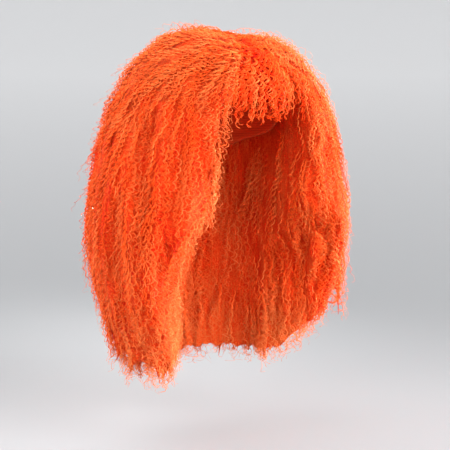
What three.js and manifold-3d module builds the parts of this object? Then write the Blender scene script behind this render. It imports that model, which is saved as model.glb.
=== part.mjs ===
// A curly wig of chest length: a fitted cap, three masses of hair and a fringe.
// Millimetres, +Z up. The face looks along -Y and the wearer's left is +X.
// The origin is the inside of the cap's crown, where the top of the head bears on it.
import * as THREE from "three";
import Module from "manifold-3d";

const wasm = await Module();
wasm.setup();

// Driving dimensions: the head that the cap fits, and the gaps between the pieces
const HEAD_HALF_WIDTH = 76;
const HEAD_HALF_DEPTH = 96;
const HEAD_HALF_HEIGHT = 105;
const CAP_WALL = 2;
const SEAT_GAP = 0.4;
const SPLIT_GAP = 0.6;

// Driving dimensions: the parting and the hair's outer form
const CROWN_Y = 35;
const CROWN_Z = 33;
const PART_FRONT_Y = -72;
const PART_FRONT_Z = -8;
const PART_DEPTH = 6;
const PART_HALF_WIDTH = 9;
const HAIR_CENTRE_Y = 8;
const PLAN_ROUNDNESS = 2.4;
const BODY_INSET = 11;
const BACK_SECTOR_DEG = 50;
const FACE_FLARE = 1.45;
const FACE_FRONT_Y = -230;
const FLOOR_Z = -520;
const SECTOR_REACH = 600;

const COLOURS = {
  cap: { color: 0xb8400f, roughness: 0.9 },
  hair: { color: 0xf0561c, roughness: 0.62 },
  fringe: { color: 0xf45a20, roughness: 0.62 },
};

// How far the cap's rim lies below the crown, by angle from the front
const CAP_RIM = [
  { angle: 0, drop: 46 },
  { angle: 40, drop: 58 },
  { angle: 72, drop: 100 },
  { angle: 92, drop: 124 },
  { angle: 115, drop: 124 },
  { angle: 150, drop: 150 },
  { angle: 180, drop: 160 },
];

// The outside of the hair from its shoulder down: reaches from the hair's centre line
const ENVELOPE = [
  { z: -28, right: 125, left: 125, front: 96, back: 106 },
  { z: -60, right: 145, left: 145, front: 110, back: 124 },
  { z: -100, right: 162, left: 162, front: 121, back: 138 },
  { z: -142, right: 175, left: 175, front: 128, back: 147 },
  { z: -200, right: 184, left: 184, front: 134, back: 151 },
  { z: -250, right: 190, left: 190, front: 138, back: 154 },
  { z: -310, right: 188, left: 193, front: 135, back: 153 },
  { z: -360, right: 180, left: 184, front: 117, back: 150 },
  { z: -392, right: 172, left: 166, front: 90, back: 143 },
  { z: -420, right: 158, left: 136, front: 58, back: 131 },
  { z: -446, right: 136, left: 106, front: 30, back: 111 },
];

// The room for the neck and shoulders under the cap
const NECK_ROOM = [
  { z: -196, side: 73, front: 92, back: 79 },
  { z: -250, side: 68, front: 80, back: 73 },
  { z: -310, side: 66, front: 60, back: 72 },
  { z: -400, side: 67, front: 60, back: 75 },
  { z: FLOOR_Z, side: 70, front: 60, back: 80 },
];

// The face opening: its half width, and where its walls start and begin to flare, forward of the centre
const FACE_OPENING = [
  { z: 14, half: 3, start: 66, corner: 90 },
  { z: -14, half: 26, start: 60, corner: 96 },
  { z: -55, half: 52, start: 50, corner: 104 },
  { z: -90, half: 65, start: 20, corner: 108 },
  { z: -142, half: 72, start: 20, corner: 104 },
  { z: -196, half: 73, start: 20, corner: 86 },
  { z: -232, half: 73, start: 20, corner: 56 },
  { z: -272, half: 72, start: -20, corner: 10 },
  { z: -312, half: 71, start: -40, corner: -18 },
  { z: -400, half: 71, start: -44, corner: -22 },
  { z: FLOOR_Z, half: 72, start: -44, corner: -22 },
];

// Where the outer locks end on each side, by angle from the front
const LOCK_TIPS = [
  { angle: 0, right: -376, left: -376 },
  { angle: 60, right: -398, left: -384 },
  { angle: 95, right: -434, left: -412 },
  { angle: 140, right: -442, left: -436 },
  { angle: 180, right: -440, left: -440 },
];

// Rows of outer locks, by angle from the front
const SIDE_LOCKS = { first: 36, last: 127, count: 8, thickness: 19 };
const BACK_LOCKS = { first: 135, last: 225, count: 7, thickness: 20 };
const TIP_SCATTER = 24;
const LOCK_WAVE = 0.055;
const LOCK_WAVES = 2.3;

// Locks that hang out of each side: short ones by the cheek, and longer ones down the chest and shoulder.
// x counts outwards, and right and left are the heights of their tips
const SIDE_HANGING_LOCKS = [
  { x: 81, y: -88, top: -130, right: -226, left: -226 },
  { x: 98, y: -91, top: -150, right: -256, left: -256 },
  { x: 90, y: -50, top: -180, right: -284, left: -284 },
  { x: 112, y: -68, top: -190, right: -326, left: -326 },
  { x: 80, y: 11, top: -230, right: -466, left: -462 },
  { x: 100, y: -19, top: -230, right: -444, left: -420 },
  { x: 121, y: -48, top: -230, right: -412, left: -396 },
  { x: 87, y: 26, top: -390, right: -480, left: -456 },
  { x: 105, y: -2, top: -380, right: -472, left: -430 },
  { x: 114, y: 46, top: -390, right: -466, left: -450 },
  { x: 85, y: 62, top: -390, right: -474, left: -460 },
  { x: 140, y: 14, top: -370, right: -452, left: -422 },
  { x: 148, y: 44, top: -360, right: -440, left: -424 },
];
const BACK_HANGING_LOCKS = [
  { x: -54, y: 96, top: -390, tip: -460 },
  { x: -18, y: 102, top: -390, tip: -464 },
  { x: 18, y: 99, top: -390, tip: -458 },
  { x: 54, y: 96, top: -390, tip: -462 },
];
const HANGING_THICKNESS = 15;
const HANGING_SWAY = 3;

// A thin lock that hangs free of the left side
const LEFT_WISP = [{ x: 181, y: -36, top: -262, left: -392 }];
const WISP_THICKNESS = 8;

// The lock that frames the face on each side, from the parting to the jaw
const FRAMING_LOCK = [
  { x: 12, y: -64, z: -2 },
  { x: 38, y: -84, z: -24 },
  { x: 62, y: -98, z: -60 },
  { x: 77, y: -105, z: -104 },
  { x: 84, y: -106, z: -150 },
  { x: 86, y: -92, z: -200 },
  { x: 90, y: -70, z: -244 },
];
const FRAMING_THICKNESS = 15;

// The fringe: the middle line of its fan, and how much of its spread is reached on the way down
const FRINGE_LOCKS = { count: 8, spread: 48, thickness: 9.5, wave: 2.5 };
const FRINGE_PATH = [
  { y: -56, z: -7, spread: 0.28 },
  { y: -80, z: -18, spread: 0.48 },
  { y: -96, z: -38, spread: 0.72 },
  { y: -104, z: -60, spread: 0.9 },
  { y: -107, z: -80, spread: 0.98 },
  { y: -105, z: -98, spread: 1 },
];

const AROUND = 34;
const DOME_STEPS = 6;
const LOCK_SIDES = 6;
const LOCK_STEPS = 9;
const FRINGE_STEPS = 7;
const HANGING_STEPS = 4;
const BODY_WAYS = [0.15, 0.4, 0.65, 0.85, 1, 1.12, 1.3, 1.5, 1.7, 1.84, 1.94, 2];

const { degToRad, radToDeg, smoothstep, lerp, clamp } = THREE.MathUtils;

// A column of a table at a value of its key column, joined by smooth curves
function read(table, key, at, column) {
  const sign = Math.sign(table[1][key] - table[0][key]);
  let i = 0;
  while (i < table.length - 2 && sign * table[i + 1][key] <= sign * at) i += 1;
  const [a, b] = [table[i], table[i + 1]];
  const [p, q] = [table[Math.max(i - 1, 0)], table[Math.min(i + 2, table.length - 1)]];
  const span = b[key] - a[key];
  const t = clamp((at - a[key]) / span, 0, 1);
  const leaving = (span * (b[column] - p[column])) / (b[key] - p[key]);
  const arriving = (span * (q[column] - a[column])) / (q[key] - a[key]);
  const ease = t * t * (3 - 2 * t);
  const bend = t * (1 - t) * ((1 - t) * leaving - t * arriving);
  return lerp(a[column], b[column], ease) + bend;
}

// A repeatable number from 0 to 1 for the n-th lock of a row
function vary(n, row) {
  const x = Math.sin(n * 12.9898 + row * 78.233) * 43758.5453;
  return x - Math.floor(x);
}

// The column of the side that an angle from the front lies on
function sideOf(angle) {
  return Math.sin(angle) > 0 ? "left" : "right";
}

function envelopeAt(z, angle) {
  const at = (column) => read(ENVELOPE, "z", z, column);
  return { side: at(sideOf(angle)), front: at("front"), back: at("back") };
}

// Radius of a rounded plan in the direction of an angle from the front
function planRadius({ side, front, back }, angle) {
  const across = Math.abs(Math.sin(angle)) / side;
  const along = Math.abs(Math.cos(angle)) / (Math.cos(angle) > 0 ? front : back);
  return (across ** PLAN_ROUNDNESS + along ** PLAN_ROUNDNESS) ** (-1 / PLAN_ROUNDNESS);
}

// A point at an angle from the front, a radius and a height, about an upright axis at y
function around(angle, radius, y, z) {
  return new THREE.Vector3(radius * Math.sin(angle), y - radius * Math.cos(angle), z);
}

// A closed body through a stack of rings, with a point at each end
function skin(start, rings, end) {
  const n = rings[0].length;
  const last = 1 + rings.length * n;
  const at = (ring, i) => 1 + ring * n + (i % n);
  const index = [];
  for (let i = 0; i < n; i++) {
    index.push(0, at(0, i), at(0, i + 1));
    index.push(last, at(rings.length - 1, i + 1), at(rings.length - 1, i));
    for (let r = 0; r + 1 < rings.length; r++) {
      index.push(at(r, i), at(r + 1, i + 1), at(r, i + 1));
      index.push(at(r, i), at(r + 1, i), at(r + 1, i + 1));
    }
  }
  return new THREE.BufferGeometry().setFromPoints([start, ...rings.flat(), end]).setIndex(index);
}

// A geometry as a solid for joining and cutting
function solid(geometry) {
  const vertProperties = new Float32Array(geometry.getAttribute("position").array);
  const triVerts = new Uint32Array(geometry.index.array);
  return new wasm.Manifold(new wasm.Mesh({ numProp: 3, vertProperties, triVerts }));
}

// The largest body of a solid, without the crumbs that a cut may leave
function mainBody(made) {
  return made.decompose().reduce((a, b) => (b.volume() > a.volume() ? b : a));
}

function toGeometry(made) {
  const { vertProperties, triVerts } = made.getMesh();
  const geometry = new THREE.BufferGeometry();
  geometry.setAttribute("position", new THREE.BufferAttribute(vertProperties, 3));
  geometry.setIndex(new THREE.BufferAttribute(triVerts, 1));
  return geometry;
}

function named(name, geometry, look) {
  const mesh = new THREE.Mesh(geometry, new THREE.MeshStandardMaterial({ ...look, metalness: 0 }));
  mesh.name = name;
  return mesh;
}

const ANGLES = Array.from({ length: AROUND }, (_, i) => (i / AROUND) * 2 * Math.PI);
const DOME_SHARES = Array.from({ length: DOME_STEPS }, (_, i) => (i + 1) / DOME_STEPS);

// The angle from the front without its sign, from 0 to half a turn
function fromFront(angle) {
  return Math.acos(Math.cos(angle));
}

// A ring of the head's dome, grown by a thickness, at a share of the way from the crown to the cap's rim
function domeRing(share, grown) {
  return ANGLES.map((angle) => {
    const drop = read(CAP_RIM, "angle", radToDeg(fromFront(angle)), "drop");
    const polar = share * Math.acos(1 - drop / HEAD_HALF_HEIGHT);
    return new THREE.Vector3(
      (HEAD_HALF_WIDTH + grown) * Math.sin(polar) * Math.sin(angle),
      -(HEAD_HALF_DEPTH + grown) * Math.sin(polar) * Math.cos(angle),
      (HEAD_HALF_HEIGHT + grown) * Math.cos(polar) - HEAD_HALF_HEIGHT,
    );
  });
}

function cap() {
  const outer = DOME_SHARES.map((share) => domeRing(share, CAP_WALL));
  const inner = DOME_SHARES.map((share) => domeRing(share, 0)).reverse();
  return skin(new THREE.Vector3(0, 0, CAP_WALL), [...outer, ...inner], new THREE.Vector3(0, 0, 0));
}

// The room for the head and neck, which all the hair leaves open
function headRoom() {
  const grown = CAP_WALL + SEAT_GAP;
  const dome = DOME_SHARES.map((share) => domeRing(share, grown));
  const neck = NECK_ROOM.map((row) => ANGLES.map((angle) => around(angle, planRadius(row, angle), 0, row.z)));
  return solid(skin(new THREE.Vector3(0, 0, grown), [...dome, ...neck], new THREE.Vector3(0, 0, FLOOR_Z)));
}

// The opening for the face, drawn in by a gap for what hangs inside it
function faceRoom(gap) {
  const rings = FACE_OPENING.map(({ z, half, start, corner }) => {
    const inner = half - gap;
    const outer = inner + (-FACE_FRONT_Y - corner) / FACE_FLARE;
    const halfPlan = [
      [inner, -start],
      [inner, -corner],
      [outer, FACE_FRONT_Y],
    ];
    const plan = [...halfPlan.map(([x, y]) => [-x, y]), ...halfPlan.reverse()];
    return plan.map(([x, y]) => new THREE.Vector3(x, y, z - gap));
  });
  const middle = ([{ z }]) => new THREE.Vector3(0, (PART_FRONT_Y + FACE_FRONT_Y) / 2, z);
  return solid(skin(middle(rings[0]), rings, middle(rings[rings.length - 1])));
}

// The outside of the hair at an angle. Way runs from 0 at the parting to 1 at the shoulder and 2 at the tips
function hairPoint(angle, way, tipZ, inset) {
  const shoulderZ = ENVELOPE[0].z;
  if (way >= 1) {
    const z = lerp(shoulderZ, tipZ, way - 1);
    return around(angle, planRadius(envelopeAt(z, angle), angle) - inset, HAIR_CENTRE_Y, z);
  }
  const rootY = lerp(PART_FRONT_Y, CROWN_Y, smoothstep(fromFront(angle), degToRad(15), degToRad(120)));
  const rootZ = lerp(CROWN_Z, PART_FRONT_Z, ((CROWN_Y - rootY) / (CROWN_Y - PART_FRONT_Y)) ** 2);
  const radius = way * planRadius(envelopeAt(shoulderZ, angle), angle);
  const groove = PART_DEPTH * Math.exp(-((radius / PART_HALF_WIDTH) ** 2));
  const z = lerp(rootZ, shoulderZ, way ** 3) - groove - inset * (1 - way);
  return around(angle, radius - inset * way, lerp(rootY, HAIR_CENTRE_Y, way ** 1.5), z);
}

// The smooth body of all the hair, a little inside the locks that lie on it
function hairBody() {
  const lowest = ENVELOPE[ENVELOPE.length - 1].z;
  const rings = BODY_WAYS.map((way) => ANGLES.map((angle) => hairPoint(angle, way, lowest, BODY_INSET)));
  const top = new THREE.Vector3(0, (PART_FRONT_Y + CROWN_Y) / 2, CROWN_Z - PART_DEPTH - 2 * BODY_INSET);
  return solid(skin(top, rings, new THREE.Vector3(0, 0, lowest - 1)));
}

// A tapering lock along a curve, thickest from a third of the way down
function lock(points, thickness, steps) {
  const curve = new THREE.CatmullRomCurve3(points);
  const { normals, binormals } = curve.computeFrenetFrames(steps, false);
  const rings = normals.map((normal, i) => {
    const t = i / steps;
    const radius = thickness * (0.35 + 0.65 * smoothstep(t, 0, 0.35)) * (1 - 0.75 * smoothstep(t, 0.6, 1));
    return Array.from({ length: LOCK_SIDES }, (_, s) => {
      const turn = (-s / LOCK_SIDES) * 2 * Math.PI;
      const point = curve.getPointAt(t).addScaledVector(normal, radius * Math.cos(turn));
      return point.addScaledVector(binormals[i], radius * Math.sin(turn));
    });
  });
  const tip = curve.getPointAt(1).addScaledVector(curve.getTangentAt(1), thickness / 2);
  return solid(skin(curve.getPointAt(0), rings, tip));
}

// A row of wavy locks that lie on the body of the hair and hang past its lower edge
function lockRow({ first, last, count, thickness }, side, row) {
  return Array.from({ length: count }, (_, n) => {
    const middle = degToRad(lerp(first, last, n / (count - 1)));
    const level = read(LOCK_TIPS, "angle", radToDeg(fromFront(middle)), sideOf(side * middle));
    const tipZ = level - TIP_SCATTER * (vary(n, row) - 0.5);
    const phase = 2 * Math.PI * vary(n, row + 1);
    const points = Array.from({ length: 2 * LOCK_STEPS + 1 }, (_, i) => {
      const way = lerp(0.07, 2, i / (2 * LOCK_STEPS));
      const sway = LOCK_WAVE * Math.min(way, 1) * Math.sin(LOCK_WAVES * Math.PI * way + phase);
      return hairPoint(side * (middle + sway), way, tipZ, thickness * 0.6);
    });
    return lock(points, thickness * (0.9 + 0.25 * vary(n, row + 2)), LOCK_STEPS);
  });
}

// Locks that hang out of the hair down to the heights of a tip column, turning a little as they fall
function hangingLocks(table, tip, thickness, side, row) {
  return table.map((one, n) => {
    const points = Array.from({ length: HANGING_STEPS + 1 }, (_, i) => {
      const turn = 2 * Math.PI * (vary(n, row) + i / HANGING_STEPS);
      const x = side * one.x + HANGING_SWAY * Math.sin(turn);
      const y = one.y + HANGING_SWAY * Math.cos(turn);
      return new THREE.Vector3(x, y, lerp(one.top, one[tip], i / HANGING_STEPS));
    });
    return lock(points, thickness, HANGING_STEPS);
  });
}

function framingLock(side) {
  const points = FRAMING_LOCK.map(({ x, y, z }) => new THREE.Vector3(side * x, y, z));
  return lock(points, FRAMING_THICKNESS, LOCK_STEPS);
}

// An upright wedge of the plan between two angles, from a corner beside the crown
function sector(fromDeg, toDeg, cornerX, cornerY) {
  const rim = Array.from({ length: 5 }, (_, i) => {
    const rimPoint = around(degToRad(lerp(fromDeg, toDeg, i / 4)), SECTOR_REACH, cornerY, 0);
    return new THREE.Vector2(cornerX + rimPoint.x, rimPoint.y);
  });
  const plan = [new THREE.Vector2(cornerX, cornerY), ...rim];
  const ring = (z) => plan.map(({ x, y }) => new THREE.Vector3(x, y, z));
  const centre = plan.reduce((sum, point) => sum.add(point), new THREE.Vector2()).divideScalar(plan.length);
  const end = (z) => new THREE.Vector3(centre.x, centre.y, z);
  const top = CROWN_Z + 50;
  return solid(skin(end(top), [ring(top), ring(FLOOR_Z)], end(FLOOR_Z)));
}

const head = headRoom();
const face = faceRoom(0);
const body = hairBody();
const BACK_EDGE_DEG = 180 - BACK_SECTOR_DEG;

// The body of the hair and its locks, within a sector and clear of the head and face
function hairMass(outerLocks, hanging, wedge) {
  const hair = outerLocks.reduce((sum, one) => sum.add(one), body).subtract(face);
  const joined = hanging.reduce((sum, one) => sum.add(one), hair);
  return toGeometry(mainBody(joined.intersect(wedge).subtract(head)));
}

function sideHair(side) {
  const row = 5 + side;
  const tip = side > 0 ? "left" : "right";
  const outerLocks = [...lockRow(SIDE_LOCKS, side, row), framingLock(side)];
  const hanging = hangingLocks(SIDE_HANGING_LOCKS, tip, HANGING_THICKNESS, side, row);
  if (side > 0) hanging.push(...hangingLocks(LEFT_WISP, tip, WISP_THICKNESS, side, row));
  const angles = side > 0 ? [0, BACK_EDGE_DEG] : [-BACK_EDGE_DEG, 0];
  return hairMass(outerLocks, hanging, sector(...angles, (side * SPLIT_GAP) / 2, CROWN_Y - SPLIT_GAP / 2));
}

function backHair() {
  const wedge = sector(BACK_EDGE_DEG, 360 - BACK_EDGE_DEG, 0, CROWN_Y + SPLIT_GAP / 2);
  const hanging = hangingLocks(BACK_HANGING_LOCKS, "tip", HANGING_THICKNESS, 1, 11);
  return hairMass(lockRow(BACK_LOCKS, 1, 11), hanging, wedge);
}

// The fringe: wavy locks that fan out from the front of the parting and hang over the forehead
function fringe() {
  const { count, spread, thickness, wave } = FRINGE_LOCKS;
  const locks = Array.from({ length: count }, (_, n) => {
    const across = lerp(-1, 1, n / (count - 1));
    const points = FRINGE_PATH.map((row, i) => {
      const x = across * spread * row.spread + wave * (i % 2 ? 1 : -1);
      const y = row.y + 14 * (across * row.spread) ** 2;
      return new THREE.Vector3(x, y, row.z - 10 * vary(n, 22) * row.spread ** 4);
    });
    return lock(points, thickness, FRINGE_STEPS);
  });
  const joined = locks.reduce((sum, one) => sum.add(one));
  return toGeometry(mainBody(joined.intersect(faceRoom(SPLIT_GAP)).subtract(head)));
}

const wig = new THREE.Group();
wig.add(named("cap", cap(), COLOURS.cap));
wig.add(named("right_hair", sideHair(-1), COLOURS.hair));
wig.add(named("left_hair", sideHair(1), COLOURS.hair));
wig.add(named("back_hair", backHair(), COLOURS.hair));
wig.add(named("fringe", fringe(), COLOURS.fringe));

export default wig;
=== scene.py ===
"""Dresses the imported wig: soft masses of hair, the crimped strands that cover them, and the knit cap."""
import math
from dataclasses import dataclass, replace

import bpy
import numpy as np
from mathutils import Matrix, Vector, noise
from mathutils.bvhtree import BVHTree
from mathutils.kdtree import KDTree


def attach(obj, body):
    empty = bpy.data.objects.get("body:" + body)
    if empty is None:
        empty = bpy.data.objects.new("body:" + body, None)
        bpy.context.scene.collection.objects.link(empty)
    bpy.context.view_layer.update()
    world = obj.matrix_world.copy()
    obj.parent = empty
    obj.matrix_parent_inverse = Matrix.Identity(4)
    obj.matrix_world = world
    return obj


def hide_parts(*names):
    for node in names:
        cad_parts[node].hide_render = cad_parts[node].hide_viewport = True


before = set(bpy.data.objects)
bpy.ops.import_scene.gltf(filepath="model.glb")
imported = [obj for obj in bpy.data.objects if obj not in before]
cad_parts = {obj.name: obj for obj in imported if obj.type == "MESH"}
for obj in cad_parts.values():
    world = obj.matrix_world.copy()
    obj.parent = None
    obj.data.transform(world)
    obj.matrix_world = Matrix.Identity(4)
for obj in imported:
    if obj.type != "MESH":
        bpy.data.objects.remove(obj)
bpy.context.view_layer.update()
rng = np.random.default_rng(seed=11)
pick = rng.uniform

# The hair's build, in metres, in the part's own frame
HAIR_NODES = ("right_hair", "left_hair", "back_hair")
CROWN_Y = 0.035
PART_FRONT_Y = -0.072
HAIR_CENTRE_Y = 0.008
ENDS_Z = -0.40
FRINGE_ENDS_Z = -0.075

# Tones of the hair, above 0 paler and below 0 darker, and the levels of Z over which they come in; the top
# and inside tones are painted light and the parting tone is painted shade
GRAIN_RADIUS = 0.15
SIDE_SLOPES = (0.8, 0.3)
LOCK_GRAIN = np.array([50.0, 9.0, 50.0])
LOCK_TONE = 0.22
# Painted light: the top of the hair is made paler, as if lit from above
TOP_PAINTED_LIGHT = 0.14
TOP_LIGHT_LEVELS = (-0.18, 0.0)
ENDS_TONE = 0.2
ENDS_LEVELS = (-0.34, -0.46)
# Painted light: the lower inside of the hair is made paler, lifting its shade
INSIDE_PAINTED_LIGHT = 0.08
INSIDE_LIGHT_LEVELS = (-0.12, -0.2)
INSIDE_LIGHT_SLOPES = (0.0, -0.5)
# Painted shade: a dark line along the front of the parting, where the hair dips in
PARTING_PAINTED_SHADE = -0.4
PARTING_SHADE_LEVELS = (-0.05, -0.01)
PARTING_SHADE_WIDTH = 0.012
FRINGE_TONE = -0.25
FRINGE_MASS_TONE = -0.35
TIP_TONE = 0.12
ROOT_TONE = -0.15
TONE_STEP = 4

# How a form is drawn in from the solids, to make room for its strands
SMOOTH_FACTOR = 0.5
DRAW_IN_SHARE = 0.3
DEPTH_START = 0.0005
DEPTH_REACH = 0.1
BESIDE_BAND = (0.006, 0.016)
THIN_WIDTHS = (0.03, 0.01)
THIN_LEVELS = (-0.045, -0.02)
RAGGED_DEPTH = 0.1
RAGGED_LOCKS = 23.0
RAGGED_SWELLS = 8.0

# The way of the hair: on top of the head it runs out and back, and lower down it hangs
RUN_OUT_LEVELS = (-0.10, 0.0)
RUN_OUT_SLOPES = (-0.2, 0.3)
RUN_OUT_EASE = 0.75
SWEEP_BACK = 0.4
SWEEP_LEVELS = (-0.30, -0.03)
SWEEP_FROM_Y = (-0.11, -0.05)

# How guide lines walk over a form, hang on below it, and stop at the parting or under the cap
GUIDE_STEP = 0.004
UPHILL_SHARES = (0.1, 0.9)
SHORTEST_WALK = 0.02
NORMAL_FOLLOW = 0.4
HANG_OFF = 0.006
HANG_SLOPE = -0.5
HANG_TURN = 0.25
HANG_LIMIT = 0.012
LEAST_ALONG = 0.3
PARTING_STOP = 0.0015
PARTING_STOP_Z = -0.05
CAP_CLEARANCE = 0.008
RAISE_REACH = 0.025

# How finely strands are made: rings for each wave, and each strand's own strip of the texture map
HAIR_SEGMENTS = 4.5
FRINGE_SEGMENTS = 7.0
SHORTEST_STRAND = 0.02
FEWEST_RINGS = 6
TUBE_ANGLES = (-0.52, 1.57, 3.67)
TUBE_SIDES = len(TUBE_ANGLES)
FIBRE_STRETCH = 0.12
MAP_COLUMNS = 4
MAP_MARGIN = 0.04
MAP_LINES = np.array([0.15, 0.5, 0.85])
PIECE_TRIANGLES = 180000

# How strands run: their waves drift and beat, start small at the root, bend slowly and taper at both ends
WAVE_DRIFT = 0.25
BEAT_DEPTH = 0.3
BEAT_WAVES = 5.3
BEAT_PHASE = 1.7
ROOT_SWELL = 0.4
SWELL_RUN = 0.05
RISE_PHASE = 0.6
BEND_LENGTHS = (0.04, 0.08)
BEND_SHARES = (0.3, 1.0)
BEND_LIFT = 0.3
LOOSE_FROM = 0.3
ROOT_RUN = 0.010
ROOT_SINK = 0.003
ROOT_THICK = 0.3
TIP_TAPER = 0.6
TIP_RUN = 0.03
TOP_CURL = 0.85
CURL_GROWTH = 0.25
CURL_LEVELS = (-0.05, -0.35)

# Where strands are needed: over all that shows, more on the crown, fewer on the hidden inside
COVER_REACH = 0.004
LEAST_NEED = 0.03
FIRST_COUNTS = (0.0, 0.5)
SLOPE_WEIGHT = 0.6
SHOWN_SLOPES = (-0.6, 0.1)
INSIDE_SHARE = 0.4
INSIDE_NEED_LEVELS = (-0.13, -0.17)
CROWN_EXTRA = 0.4
CROWN_LEVELS = (-0.12, -0.02)
END_ROOT_LEVELS = (-0.37, -0.41)
END_ROOT_SLOPES = (0.5, -0.3)
LOWEST_EXTRA = 3.0
LOWEST_LEVELS = (-0.43, -0.46)
FRINGE_SLOPES = (-0.4, 0.3)
SEAM_REACH = (0.03, 0.012)

# How many strands there are of each kind, and how wide their bunches are
BUNCHES = 320
BUNCH_STRANDS = 4
BUNCH_HALF_WIDTH = 0.003
SINGLES = 560
FLYAWAYS = 1050
END_BUNCHES = 330
END_STRANDS = 3
END_HALF_WIDTH = 0.0025
END_POINTS = 14
FRINGE_BUNCHES = 90
SEAM_BUNCHES = 45
FRINGE_STRANDS = 2
FRINGE_HALF_WIDTH = 0.0009

# The cap: its fit as in the part, then its rows of weft and its hem
HEAD_RADII = np.array([0.076, 0.096, 0.105])
CAP_WALL = 0.002
CAP_RIM_ANGLES = np.radians([0.0, 40.0, 72.0, 92.0, 115.0, 150.0, 180.0])
CAP_RIM_DROPS = np.array([0.046, 0.058, 0.100, 0.124, 0.124, 0.150, 0.160])
CAP_AROUND = 72
CAP_ROWS = 60
CAP_TOP_SHARE = 0.02
RIM_ROUNDING = 3
WEFT_ROWS = 14
WEFT_RELIEF = 0.0005
HEM_RELIEF = 0.0008
HEM_SHARES = (0.94, 0.96)
CAP_INSET = 0.0003

# The looks: colours of the fibre from painted shade in its depth to its tips, its fine grain and the crimp
# of the mass
STRAND_COLOURS = ((0.93, 0.035, 0.003), (0.98, 0.10, 0.009), (1.0, 0.24, 0.06))
# Painted shade: the mass runs darker and redder than the strands, as the shadowed depth between them
MASS_COLOURS = ((0.80, 0.012, 0.001), (0.96, 0.07, 0.006), (1.0, 0.20, 0.045))
CAP_COLOURS = ((0.55, 0.045, 0.008), (0.72, 0.075, 0.014))
RAMP_PLACES = (0.2, 0.6, 1.0)
STRAND_CONTRAST = 0.5
# Painted shade: how deep the mass's darker fibres are pushed, as shadow in the gaps between them
MASS_CONTRAST = 1.6
MASS_GAP_PAINTED_SHADE = 0.3
CRIMP_WAVE = 0.0085
CRIMP_SCATTER = 16.0
CRIMP_DEPTH = 1.1
FLOOR_COLOUR = (0.33, 0.335, 0.345, 1.0)
WALL_COLOUR = (0.52, 0.525, 0.535, 1.0)

# The stage and the camera
FLOOR_Z = -0.56
FLOOR_RADIUS = 1.2
WALL_BEND = 3.3
WALL_AROUND = 96
WALL_ROWS = 24
WALL_LEVEL = 0.8
AZIMUTH = math.radians(-32.0)
ELEVATION = math.radians(5.0)
DISTANCE = 1.6
LENS = 90.0
SENSOR = 36.0
SKY_STRENGTH = 1.1
TARGET = Vector((0.0, 0.0, -0.25))
IMAGE_WIDTH = 450.0
SHIFT_PIXELS = 1.5

TURN = 2.0 * math.pi
DOWN = np.array([0.0, 0.0, -1.0])
BACK = np.array([0.0, 1.0, 0.0])


def unit(v):
    return v / (np.linalg.norm(v, axis=-1, keepdims=True) + 1e-12)


def smoothstep(low, high, x):
    t = np.clip((x - low) / (high - low), 0.0, 1.0)
    return t * t * (3.0 - 2.0 * t)


def outward(place):
    """Level directions away from the hair's upright axis."""
    return unit((place - HAIR_CENTRE_Y * BACK) * np.array([1.0, 1.0, 0.0]))


def grain_of(places, facing):
    """Places in the hair's terms: around the head, along its run and, below the top, out from its axis."""
    x, y, z = places.T
    angle = np.arctan2(np.abs(x), HAIR_CENTRE_Y - y)
    reach = np.hypot(x, y - HAIR_CENTRE_Y)
    depth = reach * smoothstep(*SIDE_SLOPES, facing[:, 2]) + np.sign(x)
    return np.stack([GRAIN_RADIUS * angle, reach - z, depth], 1)


def tone_of(places, facing):
    """Light and dark locks along the run, paler at its ends, with painted light on top and on the inside and
    painted shade in the parting.
    """
    locks = np.array([noise.noise(Vector(g * LOCK_GRAIN)) for g in grain_of(places, facing)])
    level = places[:, 2]
    top = smoothstep(*TOP_LIGHT_LEVELS, level)
    ends = smoothstep(*ENDS_LEVELS, level)
    turned_in = smoothstep(*INSIDE_LIGHT_SLOPES, (facing * outward(places)).sum(1))
    inside = turned_in * smoothstep(*INSIDE_LIGHT_LEVELS, level)
    parting = np.exp(-(places[:, 0] / PARTING_SHADE_WIDTH) ** 2) * smoothstep(*PARTING_SHADE_LEVELS, level)
    return (LOCK_TONE * locks + TOP_PAINTED_LIGHT * top + ENDS_TONE * ends + INSIDE_PAINTED_LIGHT * inside
            + PARTING_PAINTED_SHADE * parting)


def mesh_piece(name, verts, faces, material, points=None, uv=None):
    """A smooth shaded mesh from arrays, with any values per point, that rides with the part."""
    mesh = bpy.data.meshes.new(name)
    verts = np.asarray(verts, np.float32)
    faces = np.asarray(faces, np.int32)
    count, corners = faces.shape
    mesh.vertices.add(len(verts))
    mesh.vertices.foreach_set("co", verts.ravel())
    mesh.loops.add(count * corners)
    mesh.loops.foreach_set("vertex_index", faces.ravel())
    mesh.polygons.add(count)
    mesh.polygons.foreach_set("loop_start", np.arange(0, count * corners, corners, dtype=np.int32))
    mesh.polygons.foreach_set("use_smooth", np.ones(count, bool))
    for label, values in (points or {}).items():
        values = np.asarray(values, np.float32)
        if values.ndim == 1:
            mesh.attributes.new(label, "FLOAT", "POINT").data.foreach_set("value", values)
        else:
            mesh.attributes.new(label, "FLOAT_VECTOR", "POINT").data.foreach_set("vector", values.ravel())
    if uv is not None:
        mesh.uv_layers.new(name="OFBake").data.foreach_set("uv", np.asarray(uv, np.float32).ravel())
    mesh.update(calc_edges=True)
    mesh.validate()
    piece = bpy.data.objects.new(name, mesh)
    bpy.context.scene.collection.objects.link(piece)
    mesh.materials.append(material)
    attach(piece, "root")
    return piece


# The forms of the hair


def node_tree(node):
    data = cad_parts[node].data
    return BVHTree.FromPolygons([v.co for v in data.vertices], [p.vertices for p in data.polygons])


def distances(places, tree):
    return np.array([tree.find_nearest(Vector(place))[3] for place in places])


cap_tree = node_tree("cap")


def evened(points):
    """A line with each inner point drawn halfway towards its neighbours."""
    points[1:-1] = (points[:-2] + 2.0 * points[1:-1] + points[2:]) / 4.0
    return points


def blend(normal, next_normal):
    """A normal that follows the next one slowly."""
    return unit((1.0 - NORMAL_FOLLOW) * normal + NORMAL_FOLLOW * next_normal)


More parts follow.
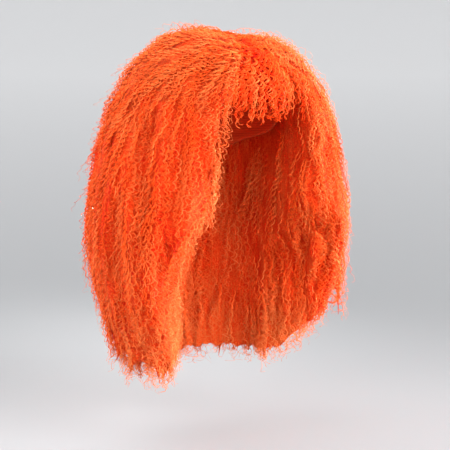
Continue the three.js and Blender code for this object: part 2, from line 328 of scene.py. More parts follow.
def flow(place, normal):
    """The way hair runs at a place: out from the parting and back on top of the head, and then down."""
    part_y = min(max(place[1], PART_FRONT_Y), CROWN_Y)
    out = unit(np.array([place[0], place[1] - part_y, 0.0]))
    top = smoothstep(*RUN_OUT_LEVELS, place[2]) * smoothstep(*RUN_OUT_SLOPES, normal[2])
    sweep = SWEEP_BACK * smoothstep(*SWEEP_LEVELS, place[2]) * smoothstep(*SWEEP_FROM_Y, place[1])
    return unit(top * out + (1.0 - RUN_OUT_EASE * top) * DOWN + sweep * BACK)


class Form:
    """The solids of some nodes, remeshed finely as one, smoothed and drawn in, to show or to lay strands on.

    Nothing is drawn in at the parting, where the hair is thin, or close to the nodes beside it."""

    def __init__(self, nodes, voxel, rounds, draw_in, beside=()):
        drafts = [bpy.data.objects.new(node + "_draft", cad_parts[node].data.copy()) for node in nodes]
        for draft in drafts:
            bpy.context.scene.collection.objects.link(draft)
        if len(drafts) > 1:
            with bpy.context.temp_override(active_object=drafts[0], selected_editable_objects=drafts):
                bpy.ops.object.join()
        remesh = drafts[0].modifiers.new("remesh", "REMESH")
        remesh.mode = "VOXEL"
        remesh.voxel_size = voxel
        smooth = drafts[0].modifiers.new("smooth", "SMOOTH")
        smooth.factor = SMOOTH_FACTOR
        smooth.iterations = rounds
        graph = bpy.context.evaluated_depsgraph_get()
        mesh = bpy.data.meshes.new_from_object(drafts[0].evaluated_get(graph))
        bpy.data.objects.remove(drafts[0])
        verts = np.zeros(len(mesh.vertices) * 3, np.float32)
        mesh.vertices.foreach_get("co", verts)
        normals = np.zeros(len(mesh.vertices) * 3, np.float32)
        mesh.vertices.foreach_get("normal", normals)
        mesh.calc_loop_triangles()
        tris = np.zeros(len(mesh.loop_triangles) * 3, np.int32)
        mesh.loop_triangles.foreach_get("vertices", tris)
        bpy.data.meshes.remove(mesh)
        self.nodes = nodes
        self.parted = True
        self.normals = normals.reshape(-1, 3).astype(float)
        self.verts = verts.reshape(-1, 3).astype(float)
        self.tris = tris.reshape(-1, 3)
        self.tree = self.search_tree()
        self.limit = self.tree
        x, _, z = self.verts.T
        parting = smoothstep(*THIN_WIDTHS, np.abs(x)) * smoothstep(*THIN_LEVELS, z)
        draw_in = np.minimum(draw_in * (1.0 - parting), DRAW_IN_SHARE * self.thickness())
        for node in beside:
            draw_in *= smoothstep(*BESIDE_BAND, distances(self.verts, node_tree(node)))
        self.verts = self.verts - self.normals * draw_in[:, None]
        self.tree = self.search_tree()

    def search_tree(self):
        return BVHTree.FromPolygons([Vector(v) for v in self.verts], self.tris.tolist())

    def thickness(self):
        """How deep the solid is under each vertex."""
        deep = np.full(len(self.verts), 1.0)
        for n, (vert, normal) in enumerate(zip(self.verts, self.normals)):
            hit = self.tree.ray_cast(Vector(vert - DEPTH_START * normal), Vector(-normal), DEPTH_REACH)
            if hit[3] is not None:
                deep[n] = hit[3]
        return deep

    def shorten(self, level, share):
        """Draws the ends below a level up unevenly, so that strands alone reach the tips."""
        x, y, z = self.verts.T
        angle = np.arctan2(x, y - HAIR_CENTRE_Y)
        ragged = share + RAGGED_DEPTH * np.sin(RAGGED_LOCKS * angle) * np.sin(RAGGED_SWELLS * angle + 1.0)
        self.verts[:, 2] = np.where(z < level, level + ragged * (z - level), z)
        self.tree = self.search_tree()

    def piece(self, name, material, tone):
        """The form as a shown piece, with its tone and the grain of its hair."""
        # The tones carry painted light on top and on the inside and painted shade in the parting
        tones = tone + tone_of(self.verts, self.normals)
        points = {"grain": grain_of(self.verts, self.normals), "tone": tones}
        piece = mesh_piece(name, self.verts, self.tris, material, points)
        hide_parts(*self.nodes)

    def roots(self, count, weight):
        """Places spread over the form by area, times a weight of place and normal."""
        corner = self.verts[self.tris]
        facing = unit(self.normals[self.tris].mean(1))
        area = np.linalg.norm(np.cross(corner[:, 1] - corner[:, 0], corner[:, 2] - corner[:, 0]), axis=1)
        share = area * weight(corner.mean(1), facing)
        picked = rng.choice(len(self.tris), size=count, p=share / share.sum())
        mix = rng.dirichlet((1.0, 1.0, 1.0), size=count)
        return (corner[picked] * mix[:, :, None]).sum(1)

    def walk(self, place, length, sign, spare):
        """A line along the hair's way over the form, which hangs on below it for a spare length."""
        points, normals = [], []
        at = np.array(place)
        normal = None
        way = DOWN
        for _ in range(max(int(length / GUIDE_STEP), 2) + 1):
            near, face_normal, _, _ = self.tree.find_nearest(Vector(at))
            near = np.array(near)
            face_normal = np.array(face_normal)
            normal = face_normal if normal is None else blend(normal, face_normal)
            off = bool(points) and np.linalg.norm(at - near) > HANG_OFF
            below = sign > 0 and face_normal[2] < HANG_SLOPE and at[2] < near[2]
            if off or below:
                spare -= GUIDE_STEP
                way = unit(way + HANG_TURN * DOWN)
                if self.limit.find_nearest(Vector(at))[3] > HANG_LIMIT:
                    break
            else:
                at = near
                way = sign * flow(at, normal)
                along = way - normal * float(way @ normal)
                if np.linalg.norm(along) > LEAST_ALONG:
                    way = unit(along)
            points.append(at.copy())
            normals.append(normal.copy())
            at = at + GUIDE_STEP * way
            at_parting = self.parted and abs(at[0]) < PARTING_STOP and at[2] > PARTING_STOP_Z
            under_cap = normal[:2] @ at[:2] < 0.0 and cap_tree.find_nearest(Vector(at))[3] < CAP_CLEARANCE
            if spare < 0.0 or (sign < 0 and (off or at_parting or under_cap)):
                break
        return points, normals

    def guide(self, place, length, spare):
        """A line through a place, from some way up the hair to its tip."""
        up, up_normals = self.walk(place, length * pick(*UPHILL_SHARES), -1, 0.0)
        run = GUIDE_STEP * len(up)
        down, down_normals = self.walk(place, max(length - run, SHORTEST_WALK), 1, spare)
        points = np.array(up[:0:-1] + down)
        normals = np.array(up_normals[:0:-1] + down_normals)
        return evened(evened(points)), normals

    def raised(self, guide):
        """A guide lifted clear of this form wherever it would sink into it."""
        points, normals = guide
        for n, (point, normal) in enumerate(zip(points, normals)):
            hit = self.tree.ray_cast(Vector(point + RAISE_REACH * normal), Vector(-normal), RAISE_REACH)
            if hit[0] is not None:
                points[n] = hit[0]
        return evened(points), normals


class Cover:
    """Counts the strands laid over each place of a form, so that the next goes through the barest."""

    def __init__(self, form, weight):
        need = weight(form.verts, form.normals)
        self.places = form.verts[need > LEAST_NEED]
        self.need = need[need > LEAST_NEED]
        self.count = pick(*FIRST_COUNTS, len(self.places))
        self.tree = KDTree(len(self.places))
        for n, place in enumerate(self.places):
            self.tree.insert(place, n)
        self.tree.balance()

    def barest(self):
        n = np.argmin(self.count / self.need)
        self.count[n] += 1.0
        return self.places[n]

    def lay(self, line, amount):
        for point in line[::2]:
            for _, n, _ in self.tree.find_range(point, COVER_REACH):
                self.count[n] += amount


# The strands


@dataclass
class Curl:
    """How one strand runs along its guide, in metres and radians.

    Each wave swells sideways, rises off the form and loops along the strand. bend is a slow sideways wave:
    its length, phase and depth. A strand lies shifted, sloped and lifted from its guide, comes loose towards
    its tip and keeps a share of the guide's length."""
    wave: float
    swell: float
    rise: float
    loop: float
    thick: float
    tone: float
    phase: float
    bend: tuple
    flat: float = 1.0
    shift: float = 0.0
    slope: float = 0.0
    lift: float = 0.0
    loose: float = 0.0
    keep: float = 1.0


class Strands:
    """Collects strands as closed three-sided tubes, to be made as joined meshes."""

    def __init__(self):
        self.verts, self.faces, self.tones, self.grains, self.sizes = [], [], [], [], []
        self.total = 0
        self.count = 0

    def add(self, rings, tone, along, across):
        """One strand from its rings of three points, with its tone and its grain."""
        count = len(rings)
        ring = np.arange(count - 1)[:, None] * TUBE_SIDES
        after = ring + TUBE_SIDES
        sides = []
        for k in range(TUBE_SIDES):
            m = (k + 1) % TUBE_SIDES
            sides.append(np.concatenate([ring + k, after + k, after + m], 1))
            sides.append(np.concatenate([ring + k, after + m, ring + m], 1))
        last = (count - 1) * TUBE_SIDES
        ends = np.array([[0, 1, 2], [last, last + 2, last + 1]])
        grain = np.zeros((count, TUBE_SIDES, 3))
        grain[:, :, 0] = across
        grain[:, :, 1] = FIBRE_STRETCH * along[:, None]
        grain += pick(-1.0, 1.0, 3)
        self.verts.append(rings.reshape(-1, 3))
        self.faces.append(np.concatenate([np.stack(sides, 1).reshape(-1, 3), ends]) + self.total)
        self.tones.append(np.repeat(tone, TUBE_SIDES))
        self.grains.append(grain.reshape(-1, 3))
        self.sizes.append(count)
        self.total += count * TUBE_SIDES
        self.count += len(self.faces[-1])

    def piece(self, name, material):
        """The strands as one mesh, each with its own strip of the texture map."""
        faces = np.concatenate(self.faces)
        rows = math.ceil(len(self.sizes) / MAP_COLUMNS)
        spots = []
        for n, count in enumerate(self.sizes):
            u = (n % MAP_COLUMNS + np.linspace(MAP_MARGIN, 1.0 - MAP_MARGIN, count)) / MAP_COLUMNS
            v = (n // MAP_COLUMNS + MAP_LINES) / rows
            spots.append(np.stack(np.broadcast_arrays(u[:, None], v[None, :]), -1).reshape(-1, 2))
        uv = np.concatenate(spots)[faces.ravel()]
        points = {"tone": np.concatenate(self.tones), "grain": np.concatenate(self.grains)}
        mesh_piece(name, np.concatenate(self.verts), faces, material, points, uv)


class Hair:
    """Batches of strands, each kept under the limit of one piece."""

    def __init__(self, name, segments):
        self.name = name
        self.segments = segments
        self.batches = [Strands()]

    def lay(self, guide, curl):
        """One strand along a guide, tapered at both ends. Gives the line that it takes."""
        points, normals = guide
        gaps = np.linalg.norm(np.diff(points, axis=0), axis=1)
        run = np.concatenate([[0.0], np.cumsum(gaps)])
        length = run[-1] * curl.keep
        if length < SHORTEST_STRAND:
            return points
        count = max(int(length / curl.wave * self.segments), FEWEST_RINGS)
        at = np.linspace(0.0, length, count)
        line = np.stack([np.interp(at, run, points[:, k]) for k in range(3)], 1)
        facing = np.stack([np.interp(at, run, normals[:, k]) for k in range(3)], 1)
        tangent = unit(np.gradient(line, axis=0))
        across = unit(np.cross(tangent, facing))
        facing = unit(np.cross(across, tangent))
        turn = TURN * at / curl.wave + curl.phase + np.cumsum(rng.normal(0.0, WAVE_DRIFT, count))
        grow = 1.0 + BEAT_DEPTH * np.sin(TURN * at / (BEAT_WAVES * curl.wave) + BEAT_PHASE * curl.phase)
        grow *= ROOT_SWELL + (1.0 - ROOT_SWELL) * smoothstep(0.0, SWELL_RUN, at)
        bend_length, bend_phase, bend_depth = curl.bend
        bend = TURN * at / bend_length + bend_phase
        root = smoothstep(0.0, ROOT_RUN, at)
        end = smoothstep(LOOSE_FROM * length, length, at)
        side = curl.shift + curl.slope * at + curl.swell * grow * np.sin(turn) + bend_depth * np.sin(bend)
        up = curl.lift + curl.rise * grow * np.cos(turn + RISE_PHASE) + curl.loose * end
        up += BEND_LIFT * bend_depth * (1.0 + np.cos(bend)) - ROOT_SINK * (1.0 - root)
        along = curl.loop * grow * np.cos(turn)
        path = line + across * side[:, None] + facing * up[:, None] + tangent * along[:, None]
        taper = ROOT_THICK + (1.0 - ROOT_THICK) * root
        taper *= 1.0 - TIP_TAPER * smoothstep(length - TIP_RUN, length, at)
        ahead = unit(np.gradient(path, axis=0))
        beside = unit(np.cross(ahead, facing))
        over = curl.flat * np.cross(beside, ahead)
        radius = 0.5 * curl.thick * taper[:, None]
        rings = [path + radius * (math.cos(a) * beside + math.sin(a) * over) for a in TUBE_ANGLES]
        # The strands take the same tones as the mass: painted light on top and on the inside, painted shade
        # in the parting
        local = np.interp(at, run[::TONE_STEP], tone_of(points[::TONE_STEP], normals[::TONE_STEP]))
        tone = curl.tone + local + TIP_TONE * end + ROOT_TONE * (1.0 - root)
        if self.batches[-1].count > PIECE_TRIANGLES:
            self.batches.append(Strands())
        self.batches[-1].add(np.stack(rings, 1), tone, at, np.array([-0.5, 0.0, 0.5]) * curl.thick)
        return path

    def pieces(self, material):
        for n, batch in enumerate(self.batches):
            batch.piece(f"{self.name}_{n + 1}", material)


def slow_bend(depth):
    """The length, phase and depth of a strand's slow sideways wave."""
    return pick(*BEND_LENGTHS), pick(0.0, TURN), pick(*BEND_SHARES) * depth


# The looks


def fibre_shader(material, colours, rough, bump_strength, bump_depth):
    """A soft fibre shader whose colours a tone from 0 to 1 drives. Gives the colour ramp and the bump."""
    nodes, links = material.node_tree.nodes, material.node_tree.links
    shader = nodes["Principled BSDF"]
    shader.inputs["Roughness"].default_value = rough
    shader.inputs["Specular IOR Level"].default_value = 0.1
    ramp = nodes.new("ShaderNodeValToRGB")
    shade, middle, tip = colours
    first, last = ramp.color_ramp.elements
    first.position = RAMP_PLACES[0]
    first.color = (*shade, 1.0)
    last.position = RAMP_PLACES[2]
    last.color = (*tip, 1.0)
    ramp.color_ramp.elements.new(RAMP_PLACES[1]).color = (*middle, 1.0)
    links.new(ramp.outputs["Color"], shader.inputs["Base Color"])
    bump = nodes.new("ShaderNodeBump")
    bump.inputs["Strength"].default_value = bump_strength
    bump.inputs["Distance"].default_value = bump_depth
    links.new(bump.outputs["Normal"], shader.inputs["Normal"])
    return ramp, bump


def attribute(material, name):
    """The node that reads a value kept on the points of a mesh."""
    node = material.node_tree.nodes.new("ShaderNodeAttribute")
    node.attribute_name = name
    return node


def math_node(material, operation, first, second=None, third=None):
    """A maths node; each value is a socket to link or a number to set."""
    node = material.node_tree.nodes.new("ShaderNodeMath")
    node.operation = operation
    for socket, value in zip(node.inputs, (first, second, third)):
        if value is None:
            continue
        if isinstance(value, (int, float)):
            socket.default_value = value
        else:
            material.node_tree.links.new(value, socket)
    return node.outputs["Value"]


def strand_look(name, colours):
    """The look of single strands: a tone for each strand, and fine fibres along it."""
    material = bpy.data.materials.new(name)
    material.use_nodes = True
    nodes, links = material.node_tree.nodes, material.node_tree.links
    ramp, bump = fibre_shader(material, colours, rough=0.5, bump_strength=0.6, bump_depth=0.001)
    tone = attribute(material, "tone")
    grain = attribute(material, "grain")
    fibre = nodes.new("ShaderNodeTexNoise")
    fibre.inputs["Scale"].default_value = 1200.0
    fibre.inputs["Detail"].default_value = 2.0
    links.new(grain.outputs["Vector"], fibre.inputs["Vector"])
    shade = math_node(material, "MULTIPLY_ADD", fibre.outputs["Fac"], STRAND_CONTRAST, tone.outputs["Fac"])
    links.new(shade, ramp.inputs["Fac"])
    links.new(fibre.outputs["Fac"], bump.inputs["Height"])
    return material


def mass_look(name, colours):
    """The look of the hair between the strands: fine fibres that crimp in step within each lock, with
    painted shade darkening the gaps between them.
    """
    material = bpy.data.materials.new(name)
    material.use_nodes = True
    nodes, links = material.node_tree.nodes, material.node_tree.links
    ramp, bump = fibre_shader(material, colours, rough=0.6, bump_strength=1.0, bump_depth=0.006)
    tone = attribute(material, "tone")
    grain = attribute(material, "grain")
    parts = nodes.new("ShaderNodeSeparateXYZ")
    links.new(grain.outputs["Vector"], parts.inputs["Vector"])
    around, down, depth = parts.outputs["X"], parts.outputs["Y"], parts.outputs["Z"]

    def grain_noise(across_scale, down_scale, shift, detail):
        texture = nodes.new("ShaderNodeTexNoise")
        texture.inputs["Scale"].default_value = 1.0
        texture.inputs["Detail"].default_value = detail
        place = nodes.new("ShaderNodeCombineXYZ")
        links.new(math_node(material, "MULTIPLY_ADD", around, across_scale, shift), place.inputs["X"])
        links.new(math_node(material, "MULTIPLY", down, down_scale), place.inputs["Y"])
        links.new(math_node(material, "MULTIPLY_ADD", depth, across_scale, shift), place.inputs["Z"])
        links.new(place.outputs["Vector"], texture.inputs["Vector"])
        return texture.outputs["Fac"]

    lock = grain_noise(across_scale=110.0, down_scale=14.0, shift=0.0, detail=1.0)
    offset = math_node(material, "MULTIPLY", lock, CRIMP_SCATTER)
    turn = math_node(material, "MULTIPLY_ADD", down, TURN / CRIMP_WAVE, offset)
    crimp = math_node(material, "MULTIPLY", math_node(material, "SINE", turn), CRIMP_DEPTH)
    fibre = grain_noise(across_scale=420.0, down_scale=30.0, shift=crimp, detail=2.0)
    # Painted shade: low fibre values are pushed down the ramp to deep red, as shadow in the gaps between the
    # fibres
    shade = math_node(material, "MULTIPLY_ADD", fibre, MASS_CONTRAST, tone.outputs["Fac"])
    links.new(math_node(material, "SUBTRACT", shade, MASS_GAP_PAINTED_SHADE), ramp.inputs["Fac"])
    links.new(fibre, bump.inputs["Height"])
    return material


strand_material = strand_look("hair_strands", STRAND_COLOURS)
mass_material = mass_look("hair_mass", MASS_COLOURS)

# The mass of hair and its strands: bunches that crimp in step, looser single curls and thin flyaways

solid = Form(HAIR_NODES, voxel=0.005, rounds=3, draw_in=0.0)
mass = Form(HAIR_NODES, voxel=0.005, rounds=3, draw_in=0.005, beside=("fringe",))
mass.shorten(ENDS_Z, share=0.9)
mass.piece("hair_mass", mass_material, tone=0.0)
form = Form(HAIR_NODES, voxel=0.006, rounds=14, draw_in=0.004)
form.limit = solid.tree


def hair_weight(places, facing):
    """Fewer strands on the hidden inside, and none against the cap."""
    turned_out = (facing * outward(places)).sum(1)
    upward = SLOPE_WEIGHT * facing[:, 2]
    forward = SLOPE_WEIGHT * np.minimum(facing[:, 1], 0.0)
    shown = smoothstep(*SHOWN_SLOPES, turned_out + upward - forward)
    inside = INSIDE_SHARE * smoothstep(*INSIDE_NEED_LEVELS, places[:, 2])
    crown = 1.0 + CROWN_EXTRA * smoothstep(*CROWN_LEVELS, places[:, 2])
    return crown * (shown + (1.0 - shown) * inside)


hair = Hair("hair_curls", HAIR_SEGMENTS)
cover = Cover(mass, hair_weight)


def next_guide(length, spare):
    """A guide through the barest place of the hair."""
    return mass.raised(form.guide(cover.barest(), length, spare))


def curl_size(guide):
    """Curls are finer on top of the head and open out towards the ends."""
    return TOP_CURL + CURL_GROWTH * smoothstep(*CURL_LEVELS, guide[0][:, 2].mean())


for _ in range(BUNCHES):
    guide = next_guide(pick(0.10, 0.19), pick(0.01, 0.05))
    size = curl_size(guide)
    bunch = Curl(wave=size * pick(0.0075, 0.0105), swell=size * pick(0.0025, 0.0036), rise=0.0,
                 loop=pick(0.0, 0.0015), thick=0.0, tone=0.0, phase=pick(0.0, TURN), bend=slow_bend(0.004),
                 flat=0.75, slope=rng.normal(0.0, 0.06), lift=pick(0.0, 0.002))
    for place in np.linspace(-BUNCH_HALF_WIDTH, BUNCH_HALF_WIDTH, BUNCH_STRANDS):
        strand = replace(bunch, rise=pick(0.001, 0.002), thick=pick(0.0011, 0.0018),
                         tone=rng.normal(0.36, 0.07), phase=bunch.phase + rng.normal(0.0, 0.9),
                         shift=place + rng.normal(0.0, 0.001), lift=bunch.lift + rng.normal(0.0, 0.001),
                         loose=pick(0.0, 0.005), keep=pick(0.7, 1.0))
        cover.lay(hair.lay(guide, strand), 1.0)
for _ in range(SINGLES):
    guide = next_guide(pick(0.06, 0.14), pick(0.01, 0.05))
    size = curl_size(guide)
    strand = Curl(wave=size * pick(0.008, 0.012), swell=size * pick(0.0028, 0.0042),
                  rise=pick(0.0016, 0.003), loop=pick(0.0, 0.0024), thick=pick(0.0009, 0.0015),
                  tone=rng.normal(0.40, 0.08), phase=pick(0.0, TURN), bend=slow_bend(0.005),
                  slope=rng.normal(0.0, 0.1), lift=pick(0.001, 0.006), loose=pick(0.0, 0.007))
    cover.lay(hair.lay(guide, strand), 1.0)
for _ in range(FLYAWAYS):
    guide = next_guide(pick(0.04, 0.10), pick(0.01, 0.05))
    strand = Curl(wave=pick(0.009, 0.014), swell=pick(0.003, 0.0055), rise=pick(0.003, 0.0055),
                  loop=pick(0.001, 0.004), thick=pick(0.0005, 0.0008), tone=rng.normal(0.48, 0.1),
                  phase=pick(0.0, TURN), bend=slow_bend(0.006), slope=rng.normal(0.0, 0.12),
                  lift=pick(0.002, 0.007), loose=pick(0.002, 0.010))
    cover.lay(hair.lay(guide, strand), 0.3)


def end_weight(places, facing):
    """Only the lower ends of the locks, where they do not face up, and most at the lowest."""
    lowest = 1.0 + LOWEST_EXTRA * smoothstep(*LOWEST_LEVELS, places[:, 2])
    low = smoothstep(*END_ROOT_LEVELS, places[:, 2])
    return lowest * low * smoothstep(*END_ROOT_SLOPES, facing[:, 2])


steps = np.linspace(1.0, 0.0, END_POINTS)[:, None]
for tip in solid.roots(END_BUNCHES, end_weight):
    away_from_axis = outward(tip)
    tip = tip + pick(-0.025, 0.010) * DOWN - pick(0.0, 0.010) * away_from_axis
    line = tip - steps * pick(0.035, 0.07) * DOWN + steps**2 * pick(0.0, 0.006) * away_from_axis
    facing = np.tile(unit(away_from_axis + rng.normal(0.0, 0.3, 3)), (len(line), 1))
    bunch = Curl(wave=pick(0.008, 0.0105), swell=pick(0.0020, 0.0030), rise=pick(0.0014, 0.0024),
                 loop=pick(0.0, 0.0012), thick=0.0, tone=rng.normal(0.42, 0.08), phase=pick(0.0, TURN),
                 bend=slow_bend(0.003), slope=rng.normal(0.0, 0.08))
    for place in np.linspace(-END_HALF_WIDTH, END_HALF_WIDTH, END_STRANDS):
        strand = replace(bunch, thick=pick(0.0010, 0.0017), phase=bunch.phase + rng.normal(0.0, 0.6),
                         shift=place + rng.normal(0.0, 0.001), lift=rng.normal(0.0, 0.002),
                         keep=pick(0.7, 1.0))
        hair.lay((line, facing), strand)
hair.pieces(strand_material)

# The fringe: bunches of looser curls on it, and over the seams where it meets the rest of the hair

fringe_mass = Form(("fringe",), voxel=0.003, rounds=4, draw_in=0.004, beside=HAIR_NODES)
fringe_mass.shorten(FRINGE_ENDS_Z, share=0.6)
fringe_mass.piece("fringe_mass", mass_material, FRINGE_MASS_TONE)
fringe_form = Form(("fringe",), voxel=0.003, rounds=10, draw_in=0.001)
fringe_form.parted = False
joined_form = Form((*HAIR_NODES, "fringe"), voxel=0.006, rounds=8, draw_in=0.002)
joined_form.parted = False


def fringe_weight(places, facing):
    """The side that shows: the top and the front."""
    return smoothstep(*FRINGE_SLOPES, facing[:, 2] - facing[:, 1])


def seam_weight(places, facing):
    """Where the fringe meets the hair beside it, on the side that shows."""
    apart = distances(places, fringe_mass.tree) + distances(places, mass.tree)
    return smoothstep(*SEAM_REACH, apart) * fringe_weight(places, facing)


fringe_hair = Hair("fringe_curls", FRINGE_SEGMENTS)
fringe_cover = Cover(fringe_mass, fringe_weight)
seam_cover = Cover(joined_form, seam_weight)
fringe_layers = ((fringe_form, FRINGE_BUNCHES, fringe_cover), (joined_form, SEAM_BUNCHES, seam_cover))
for lined, count, barer in fringe_layers:
    for _ in range(count):
        guide = lined.guide(barer.barest(), pick(0.03, 0.07), pick(0.0, 0.02))
        bunch = Curl(wave=pick(0.010, 0.0135), swell=pick(0.0036, 0.0052), rise=pick(0.002, 0.0038),
                     loop=pick(0.001, 0.004), thick=0.0, tone=FRINGE_TONE + rng.normal(0.42, 0.12),
                     phase=pick(0.0, TURN), bend=slow_bend(0.003), slope=rng.normal(0.0, 0.07),
                     lift=pick(0.0, 0.003), loose=pick(0.0, 0.004))
        for place in np.linspace(-FRINGE_HALF_WIDTH, FRINGE_HALF_WIDTH, FRINGE_STRANDS):
            strand = replace(bunch, thick=pick(0.0016, 0.0026), phase=bunch.phase + rng.normal(0.0, 0.25),
                             shift=place, lift=bunch.lift + rng.normal(0.0, 0.0006), keep=pick(0.85, 1.0))
            barer.lay(fringe_hair.lay(guide, strand), 1.0)
fringe_hair.pieces(strand_material)

# The cap: a thin knit dome with rows of weft inside and a rolled hem


def cap_piece(material):
    """The cap as one closed skin: down the outside from the top, round the hem and up the inside."""
    turns = np.linspace(0.0, TURN, CAP_AROUND, endpoint=False)
    from_front = np.abs(np.mod(turns + math.pi, TURN) - math.pi)
    drops = np.interp(from_front, CAP_RIM_ANGLES, CAP_RIM_DROPS)
    near_by = range(-RIM_ROUNDING, RIM_ROUNDING + 1)
    drops = sum(np.roll(drops, k) for k in near_by) / len(near_by)
    rims = np.arccos(1.0 - drops / HEAD_RADII[2])
    down_shares = np.linspace(CAP_TOP_SHARE, 1.0, CAP_ROWS)
    shares = np.concatenate([down_shares, np.linspace(1.0, CAP_TOP_SHARE, CAP_ROWS)])
    weft = WEFT_RELIEF * np.abs(np.sin(math.pi * WEFT_ROWS * shares))
    hem = HEM_RELIEF * smoothstep(*HEM_SHARES, shares)
    outside = np.arange(2 * CAP_ROWS) < CAP_ROWS
    grown = np.where(outside, CAP_WALL - CAP_INSET + 0.5 * hem, -weft - hem)
    polar = shares[:, None] * rims[None, :]
    radii = HEAD_RADII + grown[:, None]
    x = radii[:, 0:1] * np.sin(polar) * np.sin(turns)
    y = -radii[:, 1:2] * np.sin(polar) * np.cos(turns)
    z = radii[:, 2:3] * np.cos(polar) - HEAD_RADII[2]
    verts = np.stack([x, y, z], -1).reshape(-1, 3)
    near = np.arange(CAP_AROUND)
    after = np.roll(near, -1)
    rows = np.arange(2 * CAP_ROWS - 1)[:, None] * CAP_AROUND
    quads = np.stack([rows + near, rows + CAP_AROUND + near, rows + CAP_AROUND + after, rows + after], -1)
    quads = quads.reshape(-1, 4)
    tris = np.concatenate([quads[:, [0, 1, 2]], quads[:, [0, 2, 3]]])
    last = (2 * CAP_ROWS - 1) * CAP_AROUND
    top = np.full(CAP_AROUND, len(verts))
    lids = [np.stack([top, near, after], 1), np.stack([top + 1, last + after, last + near], 1)]
    verts = np.concatenate([verts, [[0.0, 0.0, CAP_WALL - CAP_INSET], [0.0, 0.0, 0.0]]])
    piece = mesh_piece("knit_cap", verts, np.concatenate([tris, *lids]), material)
    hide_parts("cap")


def knit_look(name, dark, light):
    """A plain knit: fine level ribs in two close tones."""
    material = bpy.data.materials.new(name)
    material.use_nodes = True
    nodes, links = material.node_tree.nodes, material.node_tree.links
    shader = nodes["Principled BSDF"]
    shader.inputs["Roughness"].default_value = 0.85
    shader.inputs["Specular IOR Level"].default_value = 0.2
    place = nodes.new("ShaderNodeTexCoord")
    ribs = nodes.new("ShaderNodeTexWave")
    ribs.bands_direction = "Z"
    ribs.inputs["Scale"].default_value = 130.0
    ribs.inputs["Distortion"].default_value = 1.5
    links.new(place.outputs["Object"], ribs.inputs["Vector"])
    ramp = nodes.new("ShaderNodeValToRGB")
    ramp.color_ramp.elements[0].color = (*dark, 1.0)
    ramp.color_ramp.elements[1].color = (*light, 1.0)
    links.new(ribs.outputs["Fac"], ramp.inputs["Fac"])
    links.new(ramp.outputs["Color"], shader.inputs["Base Color"])
    bump = nodes.new("ShaderNodeBump")
    bump.inputs["Strength"].default_value = 0.5
    bump.inputs["Distance"].default_value = 0.0006
    links.new(ribs.outputs["Fac"], bump.inputs["Height"])
    links.new(bump.outputs["Normal"], shader.inputs["Normal"])
    return material


cap_piece(knit_look("cap_knit", *CAP_COLOURS))

# The stage: a pale floor with a wall all round, soft light and the photograph's viewing angle

away = Vector((-math.sin(AZIMUTH), math.cos(AZIMUTH), 0.0))
right = Vector((math.cos(AZIMUTH), math.sin(AZIMUTH), 0.0))
up = Vector((0.0, 0.0, 1.0))


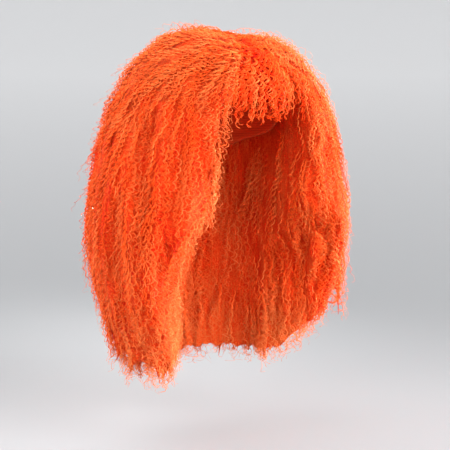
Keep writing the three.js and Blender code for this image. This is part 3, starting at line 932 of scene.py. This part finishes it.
def backdrop():
    """A round level floor that curves up into a pale wall on all sides."""
    turns = np.linspace(0.0, TURN, WALL_AROUND, endpoint=False)
    bends = np.linspace(0.0, 0.5 * math.pi, WALL_ROWS)
    radii = (FLOOR_RADIUS + WALL_BEND * np.sin(bends))[:, None]
    heights = (FLOOR_Z + WALL_BEND * (1.0 - np.cos(bends)))[:, None]
    rows = np.broadcast_arrays(radii * np.cos(turns), radii * np.sin(turns), heights)
    verts = np.stack(rows, -1).reshape(-1, 3)
    faces = [tuple(range(WALL_AROUND))]
    for row in range(WALL_ROWS - 1):
        for n in range(WALL_AROUND):
            low, low_next = row * WALL_AROUND + n, row * WALL_AROUND + (n + 1) % WALL_AROUND
            faces.append((low, low + WALL_AROUND, low_next + WALL_AROUND, low_next))
    mesh = bpy.data.meshes.new("floor")
    mesh.from_pydata(verts.tolist(), [], faces)
    mesh.polygons.foreach_set("use_smooth", np.ones(len(faces), bool))
    piece = bpy.data.objects.new("floor", mesh)
    bpy.context.scene.collection.objects.link(piece)
    material = bpy.data.materials.new("pale_floor")
    material.use_nodes = True
    nodes, links = material.node_tree.nodes, material.node_tree.links
    shader = nodes["Principled BSDF"]
    shader.inputs["Roughness"].default_value = 0.9
    facing = nodes.new("ShaderNodeNewGeometry")
    parts = nodes.new("ShaderNodeSeparateXYZ")
    links.new(facing.outputs["Normal"], parts.inputs["Vector"])
    ramp = nodes.new("ShaderNodeValToRGB")
    ramp.color_ramp.elements[0].position = WALL_LEVEL
    ramp.color_ramp.elements[0].color = WALL_COLOUR
    ramp.color_ramp.elements[1].color = FLOOR_COLOUR
    links.new(parts.outputs["Z"], ramp.inputs["Fac"])
    links.new(ramp.outputs["Color"], shader.inputs["Base Color"])
    mesh.materials.append(material)


def softbox(name, behind, beside, above, size, power, spread):
    """A soft light aimed at the wig: how far it stands behind, to the right of and above its middle."""
    place = TARGET + away * behind + right * beside + up * above
    light = bpy.data.lights.new(name, "AREA")
    light.shape = "RECTANGLE"
    light.size, light.size_y = size
    light.energy = power
    light.spread = math.radians(spread)
    lamp = bpy.data.objects.new(name, light)
    lamp.location = place
    lamp.rotation_euler = (TARGET - place).to_track_quat("-Z", "Y").to_euler()
    lamp.visible_camera = False
    bpy.context.scene.collection.objects.link(lamp)


backdrop()
softbox("key", behind=-2.1, beside=2.3, above=1.1, size=(2.2, 2.2), power=130.0, spread=150.0)
softbox("fill", behind=-3.0, beside=-1.2, above=1.1, size=(2.6, 1.2), power=36.0, spread=150.0)
softbox("overhead", behind=-0.3, beside=-0.8, above=1.9, size=(2.0, 2.0), power=24.0, spread=180.0)
softbox("right_edge", behind=0.3, beside=1.7, above=0.0, size=(0.5, 0.5), power=2.4, spread=24.0)
softbox("left_edge", behind=0.1, beside=-1.7, above=0.0, size=(0.5, 0.5), power=0.6, spread=24.0)
softbox("back", behind=2.2, beside=-0.5, above=0.5, size=(0.8, 0.8), power=4.0, spread=36.0)
world = bpy.data.worlds.new("studio")
world.use_nodes = True
sky = world.node_tree.nodes["Background"]
sky.inputs["Color"].default_value = (1.0, 1.0, 1.0, 1.0)
sky.inputs["Strength"].default_value = SKY_STRENGTH
bpy.context.scene.world = world
bpy.context.scene.view_settings.view_transform = "Standard"

lens = bpy.data.cameras.new("camera")
lens.lens = LENS
lens.sensor_width = SENSOR
lens.sensor_height = SENSOR
lens.sensor_fit = "HORIZONTAL"
lens.shift_x = SHIFT_PIXELS / IMAGE_WIDTH
camera = bpy.data.objects.new("camera", lens)
towards = up * math.sin(ELEVATION) - away * math.cos(ELEVATION)
camera.location = TARGET + towards * DISTANCE
camera.rotation_euler = towards.to_track_quat("Z", "Y").to_euler()
bpy.context.scene.collection.objects.link(camera)
bpy.context.scene.camera = camera
